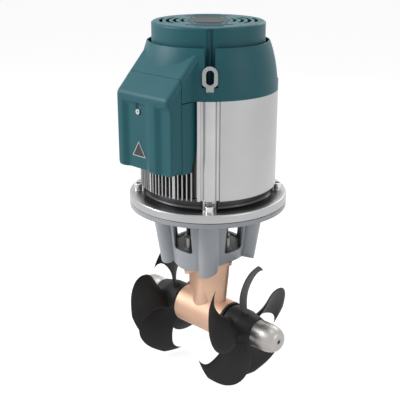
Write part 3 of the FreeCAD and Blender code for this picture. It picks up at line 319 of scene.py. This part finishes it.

# finishes, one for each material slot of the record and three more that ownFinish names;
# lengths in metres, grain, cloud and density per metre; deep is painted shade: it darkens
# the colour by place, where parts stand close together
plain = {"metallic": 0.0, "roughness": 0.5, "specular": 0.5, "spread": 0.08, "grain": 900.0,
         "cloud": 12.0, "clouding": 0.5, "bump": 0.00004, "edge": 0.25, "edgeRadius": 0.0005,
         "lines": 0.0, "density": 2500.0, "dust": 0.0, "axis": "Z", "coat": 0.0,
         "dustColour": rgb(150, 148, 142), "deep": None, "paintedShadeColour": rgb(60, 60, 62)}
strength = {"cloudFrom": 0.35, "cloudTo": 0.65, "lineColour": 0.5, "lineHeight": 2.0,
            "lineRough": 0.12, "deep": 0.93, "bump": 0.6, "coatRough": 0.2}
finishes = {
    "teal_paint": {"colour": rgb(30, 92, 101), "shade": rgb(26, 84, 93), "specular": 0.3,
                   "wornAndHighlight": rgb(78, 134, 140), "roughness": 0.45, "spread": 0.1, "grain": 1500.0,
                   "bump": 0.00003, "edge": 0.35, "edgeRadius": 0.0009, "dust": 0.1},
    "badge": {"colour": rgb(56, 58, 59), "shade": rgb(49, 51, 52), "wornAndHighlight": rgb(160, 156, 160),
              "roughness": 0.55, "specular": 0.3, "lines": 0.25, "density": 2200.0},
    "dark_plate": {"colour": rgb(52, 50, 52), "shade": rgb(44, 42, 44), "wornAndHighlight": rgb(110, 106, 104),
                   "roughness": 0.5, "bump": 0.00002},
    "lug_steel": {"colour": rgb(194, 198, 198), "shade": rgb(182, 187, 188),
                  "wornAndHighlight": rgb(206, 208, 208), "roughness": 0.42, "bump": 0.00005, "grain": 1200.0},
    "cast_aluminium": {"colour": rgb(208, 208, 208), "shade": rgb(186, 186, 188),
                       "wornAndHighlight": rgb(232, 232, 232), "metallic": 0.7, "roughness": 0.3,
                       "spread": 0.14, "grain": 1100.0, "bump": 0.00007, "edge": 0.5,
                       # deep here is painted shade in the gaps between the fins, left off beside the columns
                       "deep": {"Inner": 0.1205, "Outer": 0.1315, "Low": 0.2795, "High": 0.4595,
                                "Spare": math.radians(11.7)}},
    "turned_aluminium": {"colour": rgb(184, 184, 185), "shade": rgb(164, 164, 166),
                         "wornAndHighlight": rgb(228, 228, 228), "metallic": 1.0, "roughness": 0.34,
                         "lines": 0.5, "density": 1800.0, "edge": 0.45,
                         # deep here is painted shade and a painted dark reflection on the end shield's neck and flange
                         # top
                         "deep": {"Inner": 0.132, "Outer": 0.1475, "Low": 0.25, "High": 0.2799,
                                  "Spare": math.radians(5.5)}},
    "brushed_panel": {"colour": rgb(192, 191, 191), "shade": rgb(170, 170, 171),
                      "wornAndHighlight": rgb(236, 236, 236), "metallic": 1.0, "roughness": 0.33,
                      "spread": 0.1, "grain": 1600.0, "lines": 0.6, "density": 1500.0,
                      "bump": 0.00002, "cloud": 6.0},
    "bolt_steel": {"colour": rgb(222, 221, 219), "shade": rgb(178, 178, 178),
                   "wornAndHighlight": rgb(240, 240, 240), "metallic": 1.0, "roughness": 0.24,
                   "bump": 0.00003, "cloud": 60.0},
    "cover_screw_paint": {"colour": rgb(66, 118, 122), "shade": rgb(58, 106, 112),
                          "wornAndHighlight": rgb(120, 150, 152), "roughness": 0.42},
    "grey_casting": {"colour": rgb(162, 166, 171), "shade": rgb(150, 154, 160),
                     "wornAndHighlight": rgb(182, 186, 190), "roughness": 0.35, "spread": 0.12,
                     "grain": 650.0, "bump": 0.00012, "edge": 0.3, "edgeRadius": 0.0012,
                     # deep here is painted shade on the bracket's inner walls, seen through its windows, in a darker
                     # colour
                     "dust": 0.1, "paintedShadeColour": rgb(52, 54, 57),
                     "deep": {"Inner": 0.0685, "Outer": 0.0705, "Low": 0.1495, "High": 0.2425}},
    "bronze": {"colour": rgb(224, 187, 162), "shade": rgb(202, 167, 143),
               "wornAndHighlight": rgb(240, 208, 184), "metallic": 0.7, "roughness": 0.56, "spread": 0.14,
               "grain": 800.0, "bump": 0.00008, "edge": 0.4, "edgeRadius": 0.001},
    "black_rubber": {"colour": rgb(40, 40, 41), "shade": rgb(30, 30, 31), "wornAndHighlight": rgb(74, 74, 74),
                     "roughness": 0.72, "grain": 1800.0, "bump": 0.00004},
    "coupling_rubber": {"colour": rgb(62, 60, 58), "shade": rgb(48, 47, 46),
                        "wornAndHighlight": rgb(92, 90, 88), "roughness": 0.66, "bump": 0.00005},
    "black_composite": {"colour": rgb(42, 42, 43), "shade": rgb(36, 36, 37), "specular": 0.25,
                        "wornAndHighlight": rgb(88, 87, 88), "roughness": 0.54, "spread": 0.12,
                        "grain": 1300.0, "bump": 0.00004, "edge": 0.6, "edgeRadius": 0.0008},
    "zinc": {"colour": rgb(190, 187, 184), "shade": rgb(146, 143, 140), "wornAndHighlight": rgb(240, 240, 238),
             "metallic": 1.0, "roughness": 0.36, "spread": 0.04, "lines": 0.9, "density": 900.0,
             "bump": 0.00002, "axis": "X"},
    "electrical_steel": {"colour": rgb(122, 122, 126), "shade": rgb(96, 96, 102),
                         "wornAndHighlight": rgb(170, 170, 172), "metallic": 0.9, "roughness": 0.5,
                         "lines": 0.6, "density": 2000.0},
    "copper": {"colour": rgb(196, 122, 84), "shade": rgb(164, 92, 60), "wornAndHighlight": rgb(226, 164, 128),
               "metallic": 0.9, "roughness": 0.34, "lines": 0.7, "density": 900.0, "coat": 0.4},
    "coupling_iron": {"colour": rgb(58, 60, 63), "shade": rgb(44, 46, 49),
                      "wornAndHighlight": rgb(130, 130, 132), "metallic": 0.6, "roughness": 0.42,
                      "lines": 0.3},
    # painted shade: a darker copy of bolt steel for the leg's studs, nuts and washers inside the bracket
    "stud_steel_painted_shade": {"colour": rgb(150, 149, 147), "shade": rgb(118, 118, 117),
                  "wornAndHighlight": rgb(196, 196, 194), "metallic": 0.9, "roughness": 0.36},
    "socket_black": {"colour": rgb(62, 60, 58), "shade": rgb(48, 46, 45),
                     "wornAndHighlight": rgb(120, 118, 115), "metallic": 0.6, "roughness": 0.4},
    "shaft_steel": {"colour": rgb(176, 176, 180), "shade": rgb(150, 150, 156),
                    "wornAndHighlight": rgb(222, 222, 224), "metallic": 1.0, "roughness": 0.3,
                    "lines": 0.4, "density": 2200.0},
    "bearing_steel": {"colour": rgb(206, 206, 210), "shade": rgb(184, 184, 190),
                      "wornAndHighlight": rgb(240, 240, 242), "metallic": 1.0, "roughness": 0.16,
                      "bump": 0.00001},
    "black_plastic": {"colour": rgb(40, 41, 43), "shade": rgb(32, 33, 35), "wornAndHighlight": rgb(72, 72, 74),
                      "roughness": 0.52, "bump": 0.00004},
    "stud_brass": {"colour": rgb(214, 184, 112), "shade": rgb(186, 152, 84),
                   "wornAndHighlight": rgb(240, 220, 164), "metallic": 1.0, "roughness": 0.28},
}


def placeGroup(tree, group, vector, **values):
    node = tree.nodes.new("ShaderNodeGroup")
    node.node_tree = group
    tree.links.new(vector, node.inputs["Vector"])
    for label, value in values.items():
        node.inputs[label].default_value = value
    return node


def mixColour(tree, share, first, second):
    node = tree.nodes.new("ShaderNodeMix")
    node.data_type = "RGBA"
    for socket, value in zip((node.inputs[0], node.inputs[6], node.inputs[7]),
                             (share, first, second)):
        if isinstance(value, (int, float, tuple)):
            socket.default_value = value
        else:
            tree.links.new(value, socket)
    return node.outputs[2]


def makeFinish(name, look):
    look = {**plain, **look}
    material = bpy.data.materials.new(name)
    material.use_nodes = True
    tree = material.node_tree
    shader = tree.nodes["Principled BSDF"]
    vector = tree.nodes.new("ShaderNodeTexCoord").outputs["Object"]
    if look["axis"] == "X":                      # lines run round the propeller shaft
        turn = tree.nodes.new("ShaderNodeMapping")
        turn.inputs["Rotation"].default_value = (0, math.radians(90), 0)
        tree.links.new(vector, turn.inputs["Vector"])
        vector = turn.outputs[0]

    grain = placeGroup(tree, surfaceGrain, vector, Grain=look["grain"], Cloud=look["cloud"])
    wearAndHighlight = placeGroup(tree, edgeWearAndHighlight, vector, Radius=look["edgeRadius"])
    broad = tree.nodes.new("ShaderNodeMapRange")
    broad.inputs["From Min"].default_value = strength["cloudFrom"]
    broad.inputs["From Max"].default_value = strength["cloudTo"]
    tree.links.new(grain.outputs["Broad"], broad.inputs["Value"])
    cloud = mathNode(tree, "MULTIPLY", broad.outputs[0], look["clouding"])
    colour = mixColour(tree, cloud, look["colour"], look["shade"])
    height = grain.outputs["Fine"]
    rough = mathNode(tree, "MULTIPLY_ADD", grain.outputs["Broad"], look["spread"],
                     look["roughness"] - look["spread"] / 2)
    if look["lines"]:
        lines = placeGroup(tree, toolLines, vector, Density=look["density"]).outputs["Lines"]
        share = mathNode(tree, "MULTIPLY", lines, look["lines"] * strength["lineColour"])
        colour = mixColour(tree, share, colour, look["shade"])
        height = mathNode(tree, "MULTIPLY_ADD", lines, look["lines"] * strength["lineHeight"],
                          height)
        rough = mathNode(tree, "MULTIPLY_ADD", lines, look["lines"] * strength["lineRough"], rough)
    # edges brighten: partly real rubbed wear, partly a painted edge highlight
    colour = mixColour(tree, mathNode(tree, "MULTIPLY", wearAndHighlight.outputs["Mask"], look["edge"]),
                       colour, look["wornAndHighlight"])
    # painted shade: the colour darkens by place where parts stand close together
    if look["deep"]:
        deep = placeGroup(tree, deepShade, vector, **look["deep"])
        share = mathNode(tree, "MULTIPLY", deep.outputs["Mask"], strength["deep"])
        colour = mixColour(tree, share, colour, look["paintedShadeColour"])
    if look["dust"]:
        dust = placeGroup(tree, settledDust, vector, Amount=look["dust"])
        colour = mixColour(tree, dust.outputs["Mask"], colour, look["dustColour"])
        rough = mathNode(tree, "ADD", rough, dust.outputs["Mask"])
    bump = tree.nodes.new("ShaderNodeBump")
    bump.inputs["Strength"].default_value = strength["bump"]
    bump.inputs["Distance"].default_value = look["bump"]
    tree.links.new(height, bump.inputs["Height"])
    tree.links.new(wearAndHighlight.outputs["Normal"], bump.inputs["Normal"])

    tree.links.new(colour, shader.inputs["Base Color"])
    tree.links.new(rough, shader.inputs["Roughness"])
    tree.links.new(bump.outputs[0], shader.inputs["Normal"])
    shader.inputs["Metallic"].default_value = look["metallic"]
    shader.inputs["Specular IOR Level"].default_value = look["specular"]
    if look["coat"]:
        shader.inputs["Coat Weight"].default_value = look["coat"]
        shader.inputs["Coat Roughness"].default_value = strength["coatRough"]
    return material


# the leg's studs, nuts and washers take the darker bolt steel of painted shade
ownFinish = {"coupling_upper": "coupling_iron", "coupling_lower": "coupling_iron",
             "anode_screws": "socket_black", "leg_studs": "stud_steel_painted_shade", "leg_nuts": "stud_steel_painted_shade",
             "leg_washers": "stud_steel_painted_shade"}


def dressNodes():
    made = {slot: makeFinish(slot + "_finish", look) for slot, look in finishes.items()}
    for name, node in nodes.items():
        for held in node.material_slots:
            held.material = made[ownFinish.get(name, slotOf[name])]
    print("finishes on", len(nodes), "nodes")
    return made


# pieces of its own; their user values are in millimetres and degrees

def newPiece(shape, name, finish, body, smooth=True):
    mesh = bpy.data.meshes.new(name)
    bmesh.ops.recalc_face_normals(shape, faces=shape.faces)
    shape.to_mesh(mesh)
    shape.free()
    for face in mesh.polygons:
        face.use_smooth = smooth
    piece = bpy.data.objects.new(name, mesh)
    scene.collection.objects.link(piece)
    mesh.materials.append(finish)
    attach(piece, body)
    return piece


def raiseRing(shape, width, rise):
    # turn one flat face into a border of the given width, raised along Y
    shape.normal_update()
    ring = bmesh.ops.inset_region(shape, faces=shape.faces[:], thickness=width,
                                  use_boundary=True, use_even_offset=True)["faces"]
    inner = [face for face in shape.faces if face not in ring]
    bmesh.ops.delete(shape, geom=inner, context="FACES")
    raised = bmesh.ops.extrude_face_region(shape, geom=list(shape.faces))["geom"]
    bmesh.ops.translate(shape, verts=[v for v in raised if isinstance(v, bmesh.types.BMVert)],
                        vec=(0, rise, 0))


plateRim = {"width": 1.5, "rise": 0.3}


def makePlateRim(finish):
    # raised pale border round the bare three-cornered plate
    low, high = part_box("triangle_plate")
    half, tall = (high.x - low.x) / 2, high.z - low.z
    middle = Vector(((low.x + high.x) / 2, low.y, low.z))
    shape = bmesh.new()
    corners = [shape.verts.new(middle + Vector(point)) for point in
               ((-half, 0, 0), (half, 0, 0), (0, 0, tall))]
    shape.faces.new(corners)
    raiseRing(shape, plateRim["width"] * mm, -plateRim["rise"] * mm)
    newPiece(shape, "trianglePlateRim", finish, "housing", smooth=False)
    print("piece: rim of the triangular plate")


boxCover = {"voxel": 1.0, "passes": 26, "start": 4.5, "reach": 4.0, "aroundScrew": 7.4,
            "floorRadius": 13.0, "floorDepth": 3.0, "floorRise": 5.0, "floorBack": 11.3, "weld": 0.01}


def makeBoxCover(finish):
    # the moulded cover: the solid's shell with its outer edges drawn soft and its rim kept.
    # A floor is added to the screw's pocket, because there the solid's wall is open by mistake
    low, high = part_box("terminal_box_cover")
    screwLow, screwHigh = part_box("cover_screw")
    screw = (screwLow + screwHigh) / 2
    shape = bmesh.new()
    shape.from_mesh(nodes["terminal_box_cover"].data)
    bmesh.ops.remove_doubles(shape, verts=shape.verts, dist=boxCover["weld"] * mm)
    middle = Vector((screw.x, low.y + boxCover["floorBack"] * mm,
                     screw.z + boxCover["floorRise"] * mm))
    bmesh.ops.create_cone(shape, cap_ends=True, segments=40, depth=boxCover["floorDepth"] * mm,
                          radius1=boxCover["floorRadius"] * mm,
                          radius2=boxCover["floorRadius"] * mm,
                          matrix=Matrix.Translation(middle) @ Matrix.Rotation(
                              math.radians(90), 4, "X"))
    rough = bpy.data.meshes.new("roughCover")
    shape.to_mesh(rough)
    shape.free()
    holder = bpy.data.objects.new("roughCover", rough)
    scene.collection.objects.link(holder)
    grid = holder.modifiers.new("grid", "REMESH")
    grid.mode = "VOXEL"
    grid.voxel_size = boxCover["voxel"] * mm
    even = bpy.data.meshes.new_from_object(
        holder.evaluated_get(bpy.context.evaluated_depsgraph_get()))
    bpy.data.objects.remove(holder)
    shape = bmesh.new()
    shape.from_mesh(even)
    for step in range(boxCover["passes"]):
        back = high.y - (boxCover["start"] + boxCover["reach"] * step / boxCover["passes"]) * mm
        soft = [v for v in shape.verts if v.co.y < back and
                math.hypot(v.co.x - screw.x, v.co.z - screw.z) > boxCover["aroundScrew"] * mm]
        bmesh.ops.smooth_vert(shape, verts=soft, factor=0.5, use_axis_x=True, use_axis_y=True,
                              use_axis_z=True)
    piece = newPiece(shape, "boxCoverShell", finish, "housing")
    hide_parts("terminal_box_cover")
    print("piece: boxCoverShell")


boxSeal = {"corner": 9.5, "width": 3.4, "sink": 0.5, "steps": 6}


def makeBoxSeal(finish):
    # flat seal, a hair inside the seam; the solid's square corners stick out past the cover's
    # round ones, so here they are round as well
    low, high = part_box("box_seal")
    sink = boxSeal["sink"] * mm
    shape = bmesh.new()
    corners = [shape.verts.new((x, low.y, z)) for x, z in
               ((low.x + sink, low.z + sink), (high.x - sink, low.z + sink),
                (high.x - sink, high.z - sink), (low.x + sink, high.z - sink))]
    shape.faces.new(corners)
    bmesh.ops.bevel(shape, geom=corners, offset=boxSeal["corner"] * mm, affect="VERTICES",
                    segments=boxSeal["steps"], profile=0.5, material=-1)
    raiseRing(shape, boxSeal["width"] * mm, high.y - low.y)
    piece = newPiece(shape, "boxSealRing", finish, "housing", smooth=False)
    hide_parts("box_seal")
    print("piece: boxSealRing")


panelFold = {"thick": 1.2, "depth": 15.0, "lap": 0.05, "edge": 0.3}


def makePanelFolds(finish):
    # the sheet panels turn in beside the columns: one folded strip at each upright edge
    for name, facing in (("side_panel_right", 0), ("side_panel_back", 90),
                         ("side_panel_left", 180)):
        low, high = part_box(name)
        reach = max(abs(high.x), abs(low.x), abs(high.y), abs(low.y))
        edge = (high.y - low.y) / 2 if facing in (0, 180) else (high.x - low.x) / 2
        angle = math.asin(edge / reach)
        thick, depth = panelFold["thick"] * mm, panelFold["depth"] * mm
        shape = bmesh.new()
        for side in (-1, 1):
            turn = Matrix.Rotation(math.radians(facing) + side * angle, 4, "Z")
            place = Vector((reach - depth / 2 - panelFold["lap"] * mm, -side * thick / 2,
                            (low.z + high.z) / 2))
            size = Matrix.Diagonal((depth, thick, high.z - low.z, 1))
            bmesh.ops.create_cube(shape, size=1, matrix=turn @ Matrix.Translation(place) @ size)
        bmesh.ops.bevel(shape, geom=shape.edges[:], offset=panelFold["edge"] * mm,
                        affect="EDGES", segments=2, profile=0.5, material=-1)
        newPiece(shape, name + "_folds", finish, "housing", smooth=False)
    print("piece: folds of the three side panels")


columnLand = {"angle": 38.3, "reach": 124.0, "thick": 6.0, "width": 6.0, "edge": 0.6}


def makeColumnLands(finish):
    # cast lands that join each round column to the fins and panels beside it
    low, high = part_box("side_panel_right")
    width, thick = columnLand["width"] * mm, columnLand["thick"] * mm
    place = Vector((columnLand["reach"] * mm - thick / 2, 0, (low.z + high.z) / 2))
    size = Matrix.Diagonal((thick, width, high.z - low.z, 1))
    shape = bmesh.new()
    for facing in (0, 90, 180, 270):
        for side in (-1, 1):
            turn = Matrix.Rotation(math.radians(facing + side * columnLand["angle"]), 4, "Z")
            bmesh.ops.create_cube(shape, size=1, matrix=turn @ Matrix.Translation(place) @ size)
    bmesh.ops.bevel(shape, geom=shape.edges[:], offset=columnLand["edge"] * mm,
                    affect="EDGES", segments=2, profile=0.5, material=-1)
    newPiece(shape, "columnLands", finish, "housing", smooth=False)
    print("piece: columnLands")


noseDome = {"edge": 27.0, "flat": 12.0, "round": 156.0, "lead": 1.0, "steps": 20, "turns": 72,
            "seat": 4.6, "seatDepth": 1.8, "seatEdge": 0.6, "bore": 16.0, "screwHole": 3.6,
            "fullness": 0.92}


def makeNose(name, node, side, finish):
    # zinc nose: a short cylinder that runs out in a full dome, with a counterbore for its screw
    low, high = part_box(node)
    ends = sorted((abs(low.x), abs(high.x)))
    start, tip = ends[0] / mm, ends[1] / mm
    profile = [(start, noseDome["bore"]), (start, noseDome["edge"] - noseDome["lead"]),
               (start + noseDome["lead"], noseDome["edge"])]
    reach, drop = tip - noseDome["round"], noseDome["edge"] - noseDome["flat"]
    full, edge = noseDome["fullness"], noseDome["seatEdge"]
    for step in range(noseDome["steps"] + 1):
        turn = math.radians(90 * step / noseDome["steps"])
        profile.append((noseDome["round"] + reach * math.sin(turn) ** full,
                        noseDome["flat"] + drop * max(math.cos(turn), 0.0) ** full))
    profile += [(tip, noseDome["seat"] + edge), (tip - edge, noseDome["seat"]),
                (tip - noseDome["seatDepth"], noseDome["seat"]),
                (tip - noseDome["seatDepth"], noseDome["screwHole"])]
    shape = bmesh.new()
    ring = [shape.verts.new((side * along * mm, 0, radius * mm)) for along, radius in profile]
    edges = [shape.edges.new(pair) for pair in zip(ring, ring[1:])]
    bmesh.ops.spin(shape, geom=ring + edges, cent=(0, 0, 0), axis=(1, 0, 0), dvec=(0, 0, 0),
                   angle=math.radians(360), steps=noseDome["turns"], use_merge=True)
    piece = newPiece(shape, name, finish, "propellers")
    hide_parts(node)
    print("piece:", name)


makeStage()
made = dressNodes()
makePlateRim(made["lug_steel"])
makeBoxCover(made["teal_paint"])
makeBoxSeal(made["black_rubber"])
makePanelFolds(made["brushed_panel"])
makeColumnLands(made["cast_aluminium"])
makeNose("zincNoseRight", "anode_right", 1, made["zinc"])
makeNose("zincNoseLeft", "anode_left", -1, made["zinc"])
